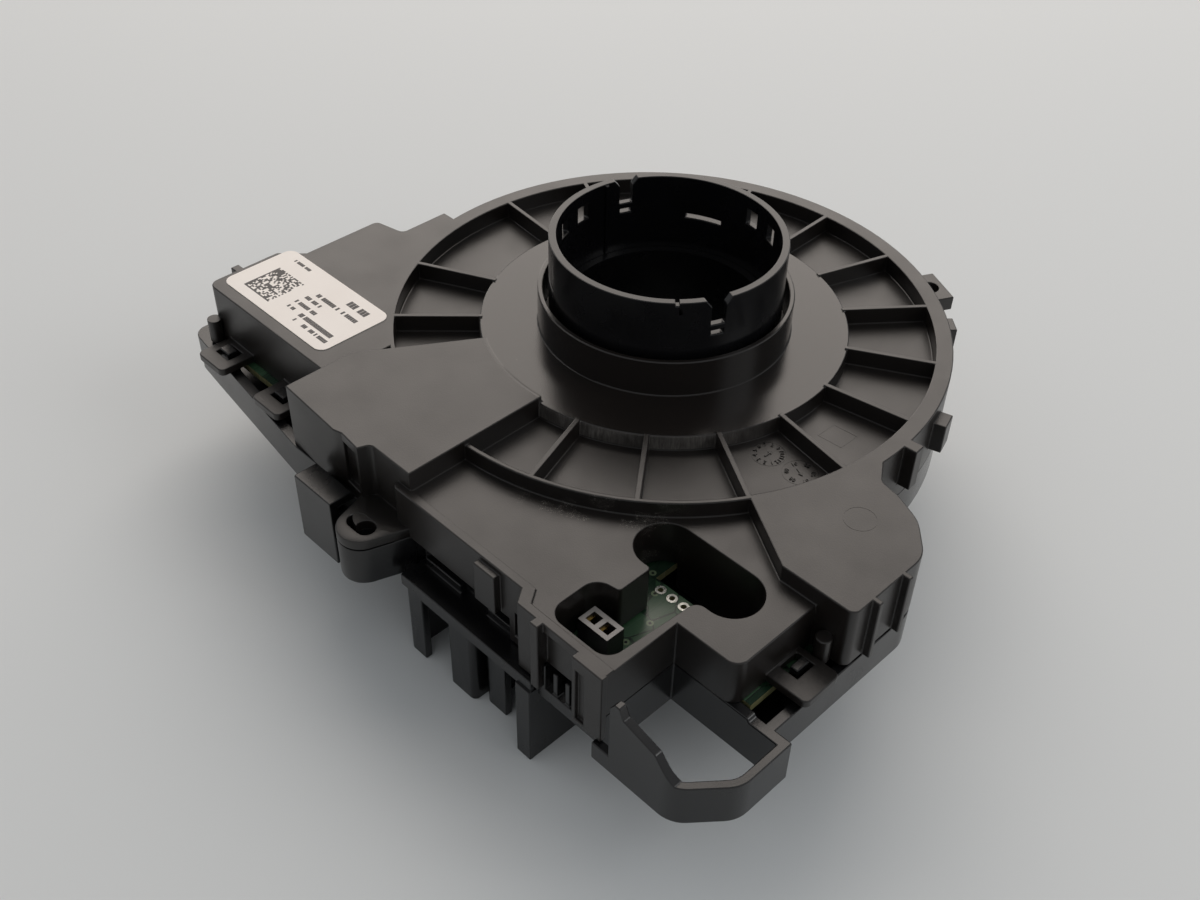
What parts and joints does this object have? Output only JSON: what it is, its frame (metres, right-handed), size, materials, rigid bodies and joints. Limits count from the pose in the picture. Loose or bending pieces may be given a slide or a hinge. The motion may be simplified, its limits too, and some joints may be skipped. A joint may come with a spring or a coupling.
{
  "type": "steering angle sensor",
  "caption": "Flat moulded housing round a steering column, with a toothed rotor tube that turns two magnet gears over angle chips on a circuit board; plug sockets face down at its front edge.",
  "frame": {"origin": "on the steering column's axis, at the flat ring round the collar of the upper cover", "axes": "+Z along the column towards the steering wheel, -Y towards the plug sockets, +X towards the corner socket"},
  "size_m": [0.1476, 0.1282, 0.0555],
  "materials": {
    "cover_plastic": "satin moulded dark brown-grey plastic",
    "case_plastic": "satin moulded black plastic",
    "rotor_plastic": "smooth black bearing plastic",
    "gear_plastic": "smooth natural acetal",
    "spring_steel": "blanked spring steel",
    "board_laminate": "green solder mask on laminate",
    "magnet_ferrite": "sintered magnet",
    "chip_epoxy": "moulded black epoxy",
    "capacitor_ceramic": "fired tan ceramic",
    "receptacle_plastic": "moulded light grey plastic",
    "contact_gold": "gold plated spring contact",
    "pad_solder": "tinned copper ring",
    "pin_tin": "tinned brass pin",
    "screw_steel": "zinc plated steel",
    "label_film": "white label film"
  },
  "bodies": {
    "housing": {"upper_cover": "cover_plastic", "lower_case": "case_plastic", "circuit_board": "board_laminate", "angle_chip_gear_a": "chip_epoxy", "angle_chip_gear_b": "chip_epoxy", "controller_chip": "chip_epoxy", "bus_driver_chip": "chip_epoxy", "voltage_regulator": "chip_epoxy", "board_capacitors": "capacitor_ceramic", "receptacle": "receptacle_plastic", "receptacle_contacts": "contact_gold", "plated_rings": "pad_solder", "plug_pins_a": "pin_tin", "plug_pins_b": "pin_tin", "board_screws": "screw_steel", "paper_label": "label_film"},
    "rotor": {"rotor_tube": "rotor_plastic", "drive_hub": "rotor_plastic", "retaining_clip": "spring_steel"},
    "gear_a": {"measuring_gear_a": "gear_plastic", "magnet_gear_a": "magnet_ferrite"},
    "gear_b": {"measuring_gear_b": "gear_plastic", "magnet_gear_b": "magnet_ferrite"}
  },
  "joints": [
    {"name": "rotor_spin", "type": "hinge", "parent": "housing", "child": "rotor", "pos_m": [0, 0, 0], "axis": [0, 0, 1], "continuous": true},
    {"name": "gear_a_spin", "type": "hinge", "parent": "housing", "child": "gear_a", "pos_m": [-0.01419, -0.03512, 0], "axis": [0, 0, 1], "continuous": true},
    {"name": "gear_b_spin", "type": "hinge", "parent": "housing", "child": "gear_b", "pos_m": [0.01023, -0.03569, 0], "axis": [0, 0, 1], "continuous": true}
  ],
  "couplings": [
    {"joint": "gear_a_spin", "follows": "rotor_spin", "ratio": -2.8846},
    {"joint": "gear_b_spin", "follows": "rotor_spin", "ratio": -3.125}
  ]
}
